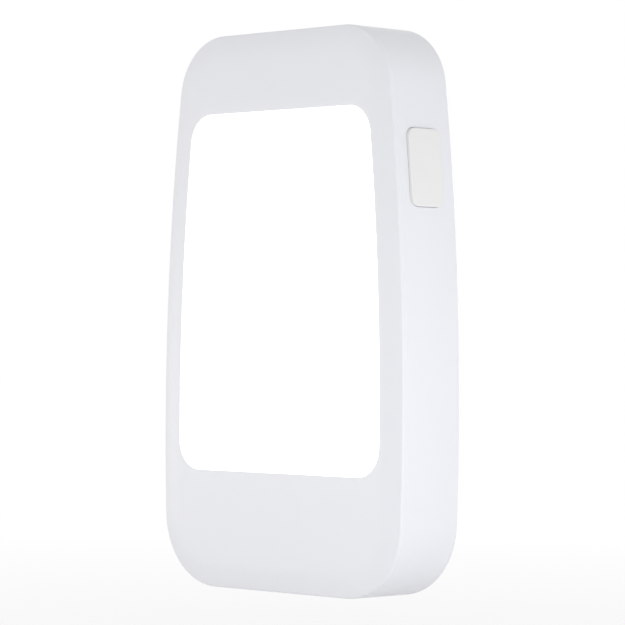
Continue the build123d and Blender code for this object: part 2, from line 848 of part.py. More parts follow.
def screws(places, seat, shank_radius, shank_length, head_radius, head_height, faces_room):
    """A set of pan head screws with a cross recess, driven from the room side or the wall side."""
    way = 1 if faces_room else -1
    with BuildPart() as group:
        with BuildSketch(Plane.XZ.offset(seat)):
            with Locations(*places):
                Circle(shank_radius)
        extrude(amount=-way * shank_length)
        with BuildSketch(Plane.XZ.offset(seat)):
            with Locations(*places):
                Circle(head_radius)
        extrude(amount=way * head_height)
        with BuildSketch(Plane.XZ.offset(seat + way * head_height)):
            with Locations(*places):
                Rectangle(recess_width, head_radius)
                Rectangle(head_radius, recess_width)
        extrude(amount=-way * head_height / 2, mode=Mode.SUBTRACT)
    return group.part


case_screws = screws(
    case_posts,
    case_screw_seat,
    case_screw_radius,
    case_screw_length,
    case_head_radius,
    case_head_height,
    False,
)
finish(case_screws, "case_screws")

retainer_screws = screws(
    retainer_screws_at,
    retainer_front,
    retainer_screw_radius,
    retainer_screw_length,
    retainer_head_radius,
    retainer_head_height,
    True,
)
finish(retainer_screws, "retainer_screws")
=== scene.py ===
from math import acos, atan2, cos, hypot, pi, radians, sin, sqrt

import bmesh
import bpy
from mathutils import Matrix, Vector


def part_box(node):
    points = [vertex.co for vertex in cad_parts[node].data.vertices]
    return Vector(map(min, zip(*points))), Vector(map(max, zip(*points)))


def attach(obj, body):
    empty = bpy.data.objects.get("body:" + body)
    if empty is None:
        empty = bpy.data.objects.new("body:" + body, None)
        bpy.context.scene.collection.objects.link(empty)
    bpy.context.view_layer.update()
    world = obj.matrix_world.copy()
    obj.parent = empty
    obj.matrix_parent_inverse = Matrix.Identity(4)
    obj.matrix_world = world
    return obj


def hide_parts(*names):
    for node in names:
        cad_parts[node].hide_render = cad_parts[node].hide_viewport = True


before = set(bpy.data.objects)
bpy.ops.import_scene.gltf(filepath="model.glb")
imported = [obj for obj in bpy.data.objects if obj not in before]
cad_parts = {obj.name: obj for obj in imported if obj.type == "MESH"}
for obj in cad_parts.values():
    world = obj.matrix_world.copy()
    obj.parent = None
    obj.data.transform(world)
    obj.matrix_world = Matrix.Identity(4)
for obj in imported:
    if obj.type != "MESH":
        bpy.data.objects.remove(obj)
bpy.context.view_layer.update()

# ---------------------------------------------------------------- rear housing
# The white tray that lies against the wall, injection moulded in ABS with a fine satin texture.
# Its two long sides are shallow arcs that run into round corners, and a hair bevel round its mouth
# meets the front cover. Two screws from the back and two snap hooks hold the two together.
tray_low, tray_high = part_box("rear_housing")
bottom_edge, top_edge = tray_low.z, tray_high.z
half_width = tray_high.x
seam_depth = -tray_low.y
side_radius = 0.544
bottom_corner = 0.0152
top_corner = 0.013
seam_bevel = 0.00005
rear_edge = 0.0006
wall = 0.0018
back = 0.002
sharp_turn = radians(30)
corner_steps = 22
side_steps = 44
end_steps = 6
rear_steps = 5
round_steps = 48


class Panel:
    """A panel facing the room: a level foot and head, two leaning arced sides and round corners."""

    def __init__(self, low, high, margin, low_corner, high_corner):
        arc = side_radius - margin
        self.low, self.high, self.arc = low, high, arc
        self.arc_centre = (half_width - side_radius, 0.0)
        self.corners = []
        for end, level, radius in ((-1, low, low_corner), (1, high, high_corner)):
            centre_level = level - end * radius
            across = self.arc_centre[0] + sqrt((arc - radius) ** 2 - centre_level**2)
            lean = atan2(centre_level, across - self.arc_centre[0])
            self.corners.append(((across, centre_level), radius, lean))
        self.points = self.half_outline()
        mirrored = [((-x, z), (-nx, nz)) for (x, z), (nx, nz) in reversed(self.points)]
        self.points += mirrored[1:-1]

    def half_outline(self):
        """Points and outward normals along the right half, from the foot's middle to the head's."""
        (low_centre, low_radius, low_lean), (high_centre, high_radius, high_lean) = self.corners
        points = [((low_centre[0] * i / end_steps, self.low), (0, -1)) for i in range(end_steps)]
        for centre, radius, start, stop, steps in (
            (low_centre, low_radius, -pi / 2, low_lean, corner_steps),
            (self.arc_centre, self.arc, low_lean, high_lean, side_steps),
            (high_centre, high_radius, high_lean, pi / 2, corner_steps),
        ):
            for i in range(steps):
                turn = start + (stop - start) * i / steps
                normal = (cos(turn), sin(turn))
                points.append(((centre[0] + radius * normal[0], centre[1] + radius * normal[1]), normal))
        for i in range(end_steps + 1):
            points.append(((high_centre[0] * (1 - i / end_steps), self.high), (0, 1)))
        return points

    def ring(self, inset, depth):
        """The outline drawn in evenly by an inset, at a depth from the wall plane."""
        return [Vector((x - inset * nx, -depth, z - inset * nz)) for (x, z), (nx, nz) in self.points]

    def edge_distance(self, across, level):
        """How far a point of the panel lies inside its edge."""
        across = abs(across)
        for (centre, radius, lean), end in zip(self.corners, (-1, 1)):
            turn = atan2(level - centre[1], across - centre[0])
            if across > centre[0] and end * turn > end * lean:
                return radius - hypot(across - centre[0], level - centre[1])
        side = self.arc - hypot(across - self.arc_centre[0], level)
        return min(side, self.high - level, level - self.low)


def skin(rings, closed_round=False):
    """A mesh of quads through a row of rings, with its two ends capped or joined to each other."""
    mesh = bmesh.new()
    rows = [[mesh.verts.new(point) for point in ring] for ring in rings]
    if closed_round:
        rows.append(rows[0])
    for before, after in zip(rows, rows[1:]):
        count = len(before)
        for i in range(count):
            mesh.faces.new((before[i], before[(i + 1) % count], after[(i + 1) % count], after[i]))
    if not closed_round:
        mesh.faces.new(list(reversed(rows[0])))
        mesh.faces.new(rows[-1])
    return mesh


def piece_from(mesh, name):
    """A smooth shaded object from a bmesh, with its normals outward and its sharp edges kept."""
    bmesh.ops.recalc_face_normals(mesh, faces=mesh.faces)
    data = bpy.data.meshes.new(name)
    mesh.to_mesh(data)
    mesh.free()
    data.shade_smooth()
    data.set_sharp_from_angle(angle=sharp_turn)
    piece = bpy.data.objects.new(name, data)
    bpy.context.scene.collection.objects.link(piece)
    return piece


def keep(piece):
    """Keep what a piece's modifiers make as its own mesh."""
    evaluated = piece.evaluated_get(bpy.context.evaluated_depsgraph_get())
    result = bpy.data.meshes.new_from_object(evaluated)
    piece.modifiers.clear()
    piece.data = result
    result.shade_smooth()
    result.set_sharp_from_angle(angle=sharp_turn)


def cut_and_keep(piece, tools):
    """Join or cut a piece with each tool in turn, and keep the result. A tool's own parts may overlap."""
    for operation, tool in tools:
        step = piece.modifiers.new(operation, "BOOLEAN")
        step.operation = operation
        step.solver = "EXACT"
        step.use_self = True
        step.object = tool
    keep(piece)
    for _, tool in tools:
        bpy.data.objects.remove(tool)


def turned(profile, place):
    """A mesh turned round an axis along Y at a place: each profile point is a radius and a depth."""
    rings = []
    for radius, depth in profile:
        ring = []
        for i in range(round_steps):
            turn = 2 * pi * i / round_steps
            ring.append(Vector((place[0] + radius * cos(turn), -depth, place[1] + radius * sin(turn))))
        rings.append(ring)
    return skin(rings)


def block(low, high):
    """A square block between two corners."""
    mesh = bmesh.new()
    bmesh.ops.create_cube(mesh, size=1)
    size = [b - a for a, b in zip(low, high)]
    centre = [(a + b) / 2 for a, b in zip(low, high)]
    bmesh.ops.transform(
        mesh, matrix=Matrix.Translation(centre) @ Matrix.Diagonal((*size, 1)), verts=mesh.verts
    )
    return mesh


def joined(meshes, name):
    """Several bmeshes as one object."""
    whole = bmesh.new()
    for mesh in meshes:
        part = bpy.data.meshes.new(name)
        mesh.to_mesh(part)
        mesh.free()
        whole.from_mesh(part)
        bpy.data.meshes.remove(part)
    return piece_from(whole, name)


def rounded_rectangle(width, height, corner, steps=8):
    """Points and outward normals round a rectangle with round corners."""
    points = []
    for across, up, start in ((1, -1, -pi / 2), (1, 1, 0), (-1, 1, pi / 2), (-1, -1, pi)):
        centre = (across * (width / 2 - corner), up * (height / 2 - corner))
        for i in range(steps + 1):
            turn = start + pi / 2 * i / steps
            normal = (cos(turn), sin(turn))
            points.append(((centre[0] + corner * normal[0], centre[1] + corner * normal[1]), normal))
    return points


body = Panel(bottom_edge, top_edge, 0, bottom_corner, top_corner)
tray_rings = []
for i in range(rear_steps + 1):
    turn = pi / 2 * i / rear_steps
    tray_rings.append(body.ring(rear_edge * (1 - sin(turn)), rear_edge * (1 - cos(turn))))
tray_rings += [
    body.ring(0, seam_depth - seam_bevel),
    body.ring(seam_bevel, seam_depth),
    body.ring(wall, seam_depth),
    body.ring(wall, back),
]
housing = piece_from(skin(tray_rings), "rear_housing_shell")

# Screw posts, and the block that the blades' shoulders lie in, stand on the back and a little into it
overlap = 0.0004
post_places = [(-0.028, -0.021), (0.028, -0.021)]
post_radius = 0.0036
post_height = 0.0064
block_half = (0.0105, 0.0095)
block_depth = 0.0036


def raised(x, z, top, start=back - overlap):
    """A block between two places across and two levels, from the back up to a height."""
    return block((min(x), -top, min(z)), (max(x), -start, max(z)))


fittings = [
    turned([(post_radius, back - overlap), (post_radius, post_height)], place) for place in post_places
]
fittings.append(raised((-block_half[0], block_half[0]), (-block_half[1], block_half[1]), block_depth))

# Rests under the LED board, grooved holders and a rib for the driver board, slotted holders for the
# switch board, and the ledges that the cover's hooks catch under
led_rests = [(0.0256, bottom_edge + 0.040), (0.017, top_edge - 0.021)]
led_rest_half = (0.0015, 0.0045)
led_board_back = 0.0082
holder_inside, holder_outside = 0.023, 0.0256
holder_levels = (bottom_edge + 0.007, bottom_edge + 0.0205)
holder_top = 0.006
groove_end = 0.024
groove_depths = (0.0034, 0.0048)
rib_half = 0.015
rib_levels = (bottom_edge + 0.0031, bottom_edge + 0.0045)
switch_low, switch_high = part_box("switch_board")
switch_holder_half = 0.002
switch_holder_reach = (0.0058, 0.009)
switch_holder_top = 0.0072
hook_places = (-0.012, 0.012)
ledge_half = 0.0034
ledge_reach = 0.0008
ledge_depths = (0.01005, 0.01125)
switch_across = (switch_low.x + switch_high.x) / 2
switch_level = (switch_low.z + switch_high.z) / 2
for side in (-1, 1):
    for across, level in led_rests:
        centre = side * across
        rest_across = (centre - led_rest_half[0], centre + led_rest_half[0])
        rest_levels = (level - led_rest_half[1], level + led_rest_half[1])
        fittings.append(raised(rest_across, rest_levels, led_board_back))
    fittings.append(raised((side * holder_inside, side * holder_outside), holder_levels, holder_top))
    holder_across = (switch_across - switch_holder_half, switch_across + switch_holder_half)
    holder_reach = [switch_level + side * reach for reach in switch_holder_reach]
    fittings.append(raised(holder_across, holder_reach, switch_holder_top))
for across in hook_places:
    ledge_across = (across - ledge_half, across + ledge_half)
    ledge_levels = (top_edge - wall - ledge_reach, top_edge - wall + overlap)
    fittings.append(raised(ledge_across, ledge_levels, ledge_depths[1], ledge_depths[0]))
fittings.append(raised((-rib_half, rib_half), rib_levels, holder_top))

# Holes through the back and the right wall, the blades' pockets and the boards' grooves
counterbore_radius = 0.0026
counterbore_depth = 0.003
shank_hole_radius = 0.0016
blade_gap = 0.0001
blade_halves = {"live": 0.003175, "neutral": 0.00395}
slot_fit = 0.0001
counterbores = [
    turned(
        [
            (counterbore_radius, -overlap),
            (counterbore_radius, counterbore_depth),
            (shank_hole_radius, counterbore_depth),
            (shank_hole_radius, post_height + overlap),
        ],
        place,
    )
    for place in post_places
]
slots = []
for side, half in blade_halves.items():
    low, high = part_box(f"plug_blade_{side}")
    slot_across = (low.x - blade_gap, high.x + blade_gap)
    slots.append(raised(slot_across, (-half - blade_gap, half + blade_gap), back + overlap, -overlap))
    shoulder_levels = (low.z - blade_gap, high.z + blade_gap)
    slots.append(raised(slot_across, shoulder_levels, block_depth + overlap, back))
for side in (-1, 1):
    groove_across = (side * (holder_inside - overlap), side * groove_end)
    groove_levels = (holder_levels[0] - overlap, holder_levels[1] + overlap)
    slots.append(raised(groove_across, groove_levels, groove_depths[1], groove_depths[0]))
slots.append(
    raised(
        (switch_low.x - slot_fit, switch_high.x + slot_fit),
        (switch_low.z - slot_fit, switch_high.z + slot_fit),
        switch_holder_top + overlap,
        -switch_high.y - slot_fit,
    )
)

button_low, button_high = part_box("side_button")
button_gap = 0.00008
button_corner = 0.002
button_half_depth = (button_high.y - button_low.y) / 2
button_depth = -(button_low.y + button_high.y) / 2
button_level = (button_low.z + button_high.z) / 2
button_length = 0.0157
mouth = rounded_rectangle(
    2 * (button_half_depth + button_gap), button_length + 2 * button_gap, button_corner + button_gap
)
opening_reach = 6 * wall
opening_across = (half_width - opening_reach, half_width + wall)
opening = skin(
    [
        [Vector((across, -button_depth + y, button_level + z)) for (y, z), _ in mouth]
        for across in opening_across
    ]
)
cut_and_keep(
    housing,
    [
        ("UNION", joined(fittings, "tray_fittings")),
        ("DIFFERENCE", joined(counterbores + slots + [opening], "tray_openings")),
    ],
)


class Signal:
    """One socket of a shader, so that shader maths reads as an expression."""

    def __init__(self, shader, socket):
        self.shader = shader
        self.socket = socket

    def maths(self, operation, first, second):
        """Add a Math node for two values."""
        return self.shader.node("Math", {"operation": operation}, {0: first, 1: second})

    def __add__(self, other):
        return self.maths("ADD", self, other)

    def __radd__(self, other):
        return self.maths("ADD", other, self)

    def __sub__(self, other):
        return self.maths("SUBTRACT", self, other)

    def __rsub__(self, other):
        return self.maths("SUBTRACT", other, self)

    def __mul__(self, other):
        return self.maths("MULTIPLY", self, other)

    def __rmul__(self, other):
        return self.maths("MULTIPLY", other, self)

    def __truediv__(self, other):
        return self.maths("DIVIDE", self, other)

    def __rtruediv__(self, other):
        return self.maths("DIVIDE", other, self)

    def __pow__(self, other):
        return self.maths("POWER", self, other)

    def __rpow__(self, other):
        return self.maths("POWER", other, self)


class Shader:
    """The nodes of a material or of the air. Plain numbers are set on the surface's own sockets."""

    def __init__(self, owner, surface, **constants):
        owner.use_nodes = True
        self.owner = owner
        self.tree = owner.node_tree
        self.surface = self.tree.nodes[surface]
        for socket, value in constants.items():
            self.surface.inputs[socket.replace("_", " ").title()].default_value = value

    def node(self, kind, settings, inputs, output=0):
        """Add any node: its settings first, then the values or links of its sockets."""
        made = self.tree.nodes.new("ShaderNode" + kind)
        for key, value in settings.items():
            if key == "stops":
                made.color_ramp.interpolation = "CONSTANT"
                for place, colour in value[1:-1]:
                    made.color_ramp.elements.new(place)
                for element, (place, colour) in zip(made.color_ramp.elements, value):
                    element.position = place
                    element.color = colour
            else:
                setattr(made, key, value)
        for key, value in inputs.items():
            if isinstance(value, Signal):
                self.tree.links.new(value.socket, made.inputs[key])
            else:
                made.inputs[key].default_value = value
        return Signal(self, made.outputs[output])

    def place(self):
        """Where a point is on the piece, in metres."""
        return self.node("TexCoord", {}, {}, "Object")

    def axis(self, name):
        """One coordinate of that place."""
        return self.node("SeparateXYZ", {}, {0: self.place()}, name)

    def noise(self, size, detail=2.0, roughness=0.5):
        """Soft noise from 0 to 1 whose features are about a size across."""
        inputs = {"Vector": self.place(), "Scale": 1 / size, "Detail": detail, "Roughness": roughness}
        return self.node("TexNoise", {}, inputs)

    def mix(self, factor, first, second):
        """A colour between two, by a factor."""
        return self.node("Mix", {"data_type": "RGBA"}, {"Factor": factor, 6: first, 7: second}, 2)

    def link(self, socket, signal):
        """Feed a surface socket."""
        self.tree.links.new(signal.socket, self.surface.inputs[socket])

    def seen_white(self, kind, share=1.0):
        """Show white to the eye, in gloss and through clear pieces, and keep the surface's own light."""
        seen = self.node("LightPath", {}, {}, "Is Camera Ray")
        for path in ("Is Glossy Ray", "Is Transmission Ray"):
            ray = self.node("LightPath", {}, {}, path)
            seen = self.node("Math", {"operation": "MAXIMUM"}, {0: seen, 1: ray})
        white = self.node(kind, {}, {"Color": (1, 1, 1, 1), "Strength": 1.0})
        own = Signal(self, self.surface.outputs[0])
        shown = self.node("MixShader", {}, {0: seen * share, 1: own, 2: white})
        output = next(node for node in self.tree.nodes if node.type.startswith("OUTPUT"))
        self.tree.links.new(shown.socket, output.inputs["Surface"])

    def bump(self, height, distance, strength=1.0):
        """Feed the surface's normal from a height between 0 and 1."""
        inputs = {"Height": height, "Distance": distance, "Strength": strength}
        self.link("Normal", self.node("Bump", {}, inputs))


def tinted(colour, factor=1.0):
    """An opaque colour with each channel scaled."""
    return (*[min(1, channel * factor) for channel in colour], 1)


flow_size = 0.018
flow_gloss = 0.10
grain_gloss = 0.08


def moulded_plastic(
    name, colour, roughness, grain_size=0.00022, grain_depth=0.000004, mottle=0.02, **constants
):
    """Moulded plastic: a fine spark-eroded grain, and slow drifts of colour and gloss from the flow."""
    shader = Shader(bpy.data.materials.new(name), "Principled BSDF", **constants)
    flow = shader.noise(flow_size, detail=3.0)
    grain = shader.noise(grain_size, roughness=0.6)
    shader.link("Base Color", shader.mix(flow, tinted(colour, 1 - mottle), tinted(colour, 1 + mottle)))
    shader.link("Roughness", roughness + (flow - 0.5) * flow_gloss + (grain - 0.5) * grain_gloss)
    shader.bump(grain, grain_depth)
    return shader


def dress(piece, shader):
    """Give a piece or a CAD node its material."""
    piece.data.materials.clear()
    piece.data.materials.append(shader.owner)


shell_white = (0.82, 0.824, 0.852)
shell_plastic = moulded_plastic("satin_white_abs", shell_white, roughness=0.42, mottle=0.008)
dress(housing, shell_plastic)
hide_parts("rear_housing")
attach(housing, "housing")

# ---------------------------------------------------------------- front cover
# The white front, moulded in the same ABS. It is flat in the middle, falls away in an arc all round
# its edge and ends in a small radius, and its window has a fine radius round the mouth. A lip
# inside the tray's wall, two snap hooks and two screw bosses locate and hold it.
front_depth = -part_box("front_cover")[0].y
front_wall = 0.002
front_radius = 0.0005
fall_width = 0.0056
fall_radius = 0.016
mouth_radius = 0.0001
lip_fit = 0.00012
lip_wall = 0.0012
lip_length = 0.0022
window_margin = 0.0057
window_corner = 0.006
window_bottom = bottom_edge + 0.0244
window_top = top_edge - 0.0164
fall_steps = 10
face_steps = 5
radius_steps = 8
mouth_steps = 4
window = Panel(window_bottom, window_top, window_margin, window_corner, window_corner)


def face_depth(point):
    """Depth of the front at a point, with its fall toward the edge."""
    near = max(0.0, fall_width - body.edge_distance(point.x, point.z))
    return front_depth - fall_radius + sqrt(fall_radius**2 - near**2)


def settled(ring, lowered=0.0):
    """A ring laid onto the front, or just under it."""
    return [Vector((point.x, -face_depth(point) + lowered, point.z)) for point in ring]


last_turn = acos((fall_width - front_radius) / (fall_radius - front_radius))
edge_reach = front_radius * (1 - cos(last_turn))
edge_start = front_depth - fall_radius + (fall_radius - front_radius) * sin(last_turn)
cover_back = front_depth - front_wall
cover_rings = [body.ring(seam_bevel, seam_depth), body.ring(0, seam_depth + seam_bevel)]
for i in range(radius_steps + 1):
    turn = last_turn * i / radius_steps
    cover_rings.append(body.ring(front_radius * (1 - cos(turn)), edge_start + front_radius * sin(turn)))
fall_stop = window_margin - 4 * mouth_radius
for i in range(1, fall_steps + 1):
    cover_rings.append(settled(body.ring(edge_reach + (fall_stop - edge_reach) * i / fall_steps, 0)))
outer, inner = body.ring(fall_stop, 0), window.ring(-mouth_radius, 0)
for i in range(1, face_steps + 1):
    cover_rings.append(settled([a.lerp(b, i / face_steps) for a, b in zip(outer, inner)]))
for i in range(1, mouth_steps + 1):
    turn = pi / 2 * i / mouth_steps
    ring = window.ring(-mouth_radius * (1 - sin(turn)), 0)
    cover_rings.append(settled(ring, mouth_radius * (1 - cos(turn))))
lip_outside = wall + lip_fit
lip_inside = lip_outside + lip_wall
cover_rings += [
    window.ring(0, cover_back),
    body.ring(lip_inside, cover_back),
    body.ring(lip_inside, cover_back - lip_length),
    body.ring(lip_outside, cover_back - lip_length),
    body.ring(lip_outside, cover_back),
]
cover = piece_from(skin(cover_rings, closed_round=True), "front_cover_shell")

# Two barbed snap hooks at the top, and the bosses that take the case screws
hook_half = 0.003
hook_thickness = 0.0012
hook_tip = 0.0085
hook_barb = 0.0007
barb_height = 0.0014
hook_gap = 0.00015
hook_back = top_edge - wall - ledge_reach - hook_gap
boss_radius = 0.003
boss_start = 0.0066
boss_hole = 0.00135
boss_hole_end = 0.0123
hook_profile = [
    (cover_back + overlap, hook_back),
    (hook_tip + barb_height, hook_back),
    (hook_tip + barb_height, hook_back + hook_barb),
    (hook_tip, hook_back),
    (hook_tip, hook_back - hook_thickness),
    (cover_back + overlap, hook_back - hook_thickness),
]
cover_parts = [
    skin(
        [
            [Vector((across + side * hook_half, -depth, level)) for depth, level in hook_profile]
            for side in (-1, 1)
        ]
    )
    for across in hook_places
]
cover_parts += [
    turned([(boss_radius, boss_start), (boss_radius, cover_back + overlap)], place)
    for place in post_places
]
boss_holes = [
    turned([(boss_hole, boss_start - overlap), (boss_hole, boss_hole_end)], place) for place in post_places
]
cut_and_keep(
    cover,
    [
        ("UNION", joined(cover_parts, "cover_hooks")),
        ("DIFFERENCE", joined(boss_holes, "boss_holes")),
    ],
)
dress(cover, shell_plastic)
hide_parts("front_cover")
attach(cover, "housing")

# ---------------------------------------------------------------- window lens
# The opal window is a shallow acrylic pan that the LEDs light from behind. It sits flush in the
# cover with a hair gap round it, and glows evenly, a touch brighter over each LED.
lens_gap = 0.00012
lens_edge = 0.0002
lens_wall = 0.0016
flange = 0.0019
flange_thickness = 0.001
glow_strength = 1.3
lens_white = (0.90, 0.90, 0.89)
dim_glow = (0.55, 0.55, 0.53, 1)
full_glow = (1, 1, 1, 1)
even_glow = 0.93
led_glow = 0.07
side_fade = 0.10
edge_steps = 4
led_size = (0.0028, 0.0035, 0.0007)
led_columns = 3
led_rows = 6
led_low, led_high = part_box("leds")
led_column_pitch = (led_high.x - led_low.x - led_size[0]) / (led_columns - 1)
led_row_pitch = (led_high.z - led_low.z - led_size[1]) / (led_rows - 1)
low_led_level = led_low.z + led_size[1] / 2
lens_back = cover_back - flange_thickness
lens_rings = [
    window.ring(lens_gap + lens_wall, front_depth - lens_wall),
    window.ring(lens_gap + lens_wall, lens_back),
    window.ring(-flange, lens_back),
    window.ring(-flange, cover_back),
    window.ring(lens_gap, cover_back),
]
for i in range(edge_steps + 1):
    turn = pi / 2 * i / edge_steps
    ring = window.ring(lens_gap + lens_edge * (1 - cos(turn)), 0)
    lens_rings.append(settled(ring, lens_edge * (1 - sin(turn))))
rim = window.ring(lens_gap + lens_edge, 0)
window_middle = Vector((0, 0, (window_bottom + window_top) / 2))
lens_shares = (0.95, 0.88, 0.78, 0.64, 0.46, 0.26, 0.08)
for share in lens_shares:
    lens_rings.append(settled([window_middle.lerp(point, share) for point in rim]))
lens = piece_from(skin(lens_rings), "window_lens_panel")
opal = moulded_plastic(
    "opal_acrylic",
    lens_white,
    roughness=0.28,
    grain_size=0.0006,
    grain_depth=0.000002,
    mottle=0.005,
    emission_strength=glow_strength,
)
column_turn = opal.axis("X") * (2 * pi / led_column_pitch)
spots_across = (opal.node("Math", {"operation": "COSINE"}, {0: column_turn}) + 1) / 2
row_turn = (opal.axis("Z") - low_led_level) * (2 * pi / led_row_pitch)
spots_up = (opal.node("Math", {"operation": "COSINE"}, {0: row_turn}) + 1) / 2
off_centre = opal.node("Math", {"operation": "ABSOLUTE"}, {0: opal.axis("X") / half_width})
glow = even_glow + spots_across * spots_up * led_glow - off_centre**4 * side_fade
opal.link("Emission Color", opal.mix(glow, dim_glow, full_glow))
dress(lens, opal)
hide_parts("window_lens")
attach(lens, "housing")

# ---------------------------------------------------------------- side button
# The push pad in the right wall is a softer, warmer white than the body. It is a moulded cap with a
# rounded edge and a shallow thumb dish, and it slides straight into the wall.
pad_proud = 0.0007
pad_depth = 0.0016
pad_edge = 0.00025
dish_radius = 0.0032
dish_depth = 0.00015
pad_corner_steps = 10
pad_edge_steps = 6
pad_face_steps = 16
pad_last_share = 0.02
pad_white = (0.825, 0.815, 0.80)


def side_across(level, proud=0.0):
    """How far out the right wall is at a level, or a surface standing proud of it."""
    return half_width - side_radius + sqrt((side_radius + proud) ** 2 - level**2)


def pad_ring(inset, proud, share=1.0):
    """A ring of the pad, drawn in by an inset or shrunk to a share, at a height over the wall."""
    ring = []
    outline = rounded_rectangle(2 * button_half_depth, button_length, button_corner, pad_corner_steps)
    for (y, z), (ny, nz) in outline:
        off_depth, off_level = (y - inset * ny) * share, (z - inset * nz) * share
        reach = hypot(off_depth, off_level) / dish_radius
        sunk = dish_depth * (1 + cos(pi * min(1, reach))) / 2
        level = button_level + off_level
        ring.append(Vector((side_across(level, proud - sunk), off_depth - button_depth, level)))
    return ring


pad_rings = [pad_ring(0, -pad_depth)]
for i in range(pad_edge_steps + 1):
    turn = pi / 2 * i / pad_edge_steps
    pad_rings.append(pad_ring(pad_edge * (1 - cos(turn)), pad_proud - pad_edge * (1 - sin(turn))))
for share in [1 - i / pad_face_steps for i in range(1, pad_face_steps)] + [pad_last_share]:
    pad_rings.append(pad_ring(pad_edge, pad_proud, share))
pad = piece_from(skin(pad_rings), "side_button_pad")
pad_plastic = moulded_plastic(
    "matte_button", pad_white, roughness=0.5, grain_size=0.0003, grain_depth=0.000006, mottle=0.012
)
dress(pad, pad_plastic)
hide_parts("side_button")
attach(pad, "button")

# ---------------------------------------------------------------- plug blades
# Two flat blades blanked from hard brass strip and nickel plated, with round corners, a bevelled tip
# and a hole. A shoulder behind the wall stops each one, and a narrow tab takes its lead.
blade_shoulder = (0.002, 0.0036)
shoulder_half = 0.0052
tab_half = 0.002
tip_corner = 0.0012
tip_bevel = 0.00045
tip_steps = 6
hole_radius = 0.00155
hole_reach = 0.0118
hole_steps = 40
blade_softness = 0.0001
nickel = (0.79, 0.77, 0.73)
brass = (0.78, 0.60, 0.31)
rolling_pitch = 0.0002
rolling_depth = 0.000003
rolling_gloss = 0.12
haze_size = 0.005
haze_gloss = 0.16
haze_dark, haze_light = 0.93, 1.03
wear_size = 0.0009
wear_bias = 0.62
wear_edge = 1.4
worn_from = 0.0012
worn_over = 0.0024


def soften(piece, width):
    """Round a piece's sharp edges by a small width."""
    edge = piece.modifiers.new("edges", "BEVEL")
    edge.width = width
    edge.segments = 2
    edge.limit_method = "ANGLE"
    edge.angle_limit = sharp_turn
    keep(piece)


def blade_ring(across, tail, reach, half):
    """The blade's outline at a place across: tab, shoulder, and the blade with its round tip."""
    upper = [(tail, tab_half), (-blade_shoulder[1], tab_half), (-blade_shoulder[1], shoulder_half)]
    upper += [(-blade_shoulder[0], shoulder_half), (-blade_shoulder[0], half)]
    for i in range(tip_steps + 1):
        turn = pi / 2 * i / tip_steps
        upper.append((reach - tip_corner * (1 - sin(turn)), half - tip_corner * (1 - cos(turn))))
    return [Vector((across, y, z)) for y, z in upper + [(y, -z) for y, z in reversed(upper)]]


def plated_metal(name, colour, roughness, grain, under=None, worn_at=0.0):
    """Plated strip: fine lines from rolling, a haze from handling, and bare metal where it is worn."""
    shader = Shader(bpy.data.materials.new(name), "Principled BSDF", metallic=1.0)
    stretched = shader.node("Mapping", {}, {"Vector": shader.place(), "Scale": grain})
    lines = shader.node("TexNoise", {}, {"Vector": stretched, "Scale": 1 / rolling_pitch, "Detail": 3.0})
    haze = shader.noise(haze_size, detail=3.0)
    surface = shader.mix(haze, tinted(colour, haze_dark), tinted(colour, haze_light))
    if under:
        near_tip = (shader.axis("Y") - worn_at) / worn_over
        wear = shader.noise(wear_size, detail=4.0)
        worn = shader.node("Clamp", {}, {"Value": (near_tip + (wear - wear_bias)) * wear_edge})
        surface = shader.mix(worn, surface, tinted(under))
    shader.link("Base Color", surface)
    shader.link("Roughness", roughness + (haze - 0.5) * haze_gloss + (lines - 0.5) * rolling_gloss)
    shader.bump(lines, rolling_depth)
    return shader


blade_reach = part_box("plug_blade_live")[1].y
blade_metal = plated_metal(
    "nickel_plated_brass",
    nickel,
    roughness=0.24,
    grain=(1, 0.04, 1),
    under=brass,
    worn_at=blade_reach - worn_from,
)
for side, half in blade_halves.items():
    low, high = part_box(f"plug_blade_{side}")
    thickness = high.x - low.x
    stations = ((0, tip_bevel), (tip_bevel, 0), (thickness - tip_bevel, 0), (thickness, tip_bevel))
    blade = piece_from(
        skin([blade_ring(low.x + step, low.y, high.y - short, half) for step, short in stations]),
        f"blade_{side}",
    )
    hole_turns = [2 * pi * i / hole_steps for i in range(hole_steps)]
    punch = skin(
        [
            [Vector((x, hole_reach + hole_radius * cos(t), hole_radius * sin(t))) for t in hole_turns]
            for x in (low.x - overlap, high.x + overlap)
        ]
    )
    cut_and_keep(blade, [("DIFFERENCE", piece_from(punch, "punch"))])
    soften(blade, blade_softness)
    dress(blade, blade_metal)
    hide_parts(f"plug_blade_{side}")
    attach(blade, "housing")

# ---------------------------------------------------------------- screws
# Zinc plated steel pan head screws with a tapered cross recess and a rolled spiral thread. Two join
# the case from the back, deep in their counterbores, and two hold the blade retainer.
case_screw = {"shank_radius": 0.0013, "head_radius": 0.0023, "head_height": 0.0018}
retainer_screw = {"shank_radius": 0.001, "head_radius": 0.0018, "head_height": 0.0012}
retainer_shank = 0.0042
retainer_screw_level = 0.0056
thread_pitch = 0.0009
thread_rise = 0.16
thread_turn_steps = 24
thread_rings = 8
point_length = 0.0014
point_share = 0.12
dome_steps = 7
dome_share = 0.6
recess_depth_share = 0.6
recess_reach_share = 0.62
recess_taper = 0.45
recess_width = 0.00055
recess_floor_share = 0.7
zinc = (0.66, 0.67, 0.70)
zinc_plate = plated_metal("zinc_plated_steel", zinc, roughness=0.33, grain=(1, 1, 1))


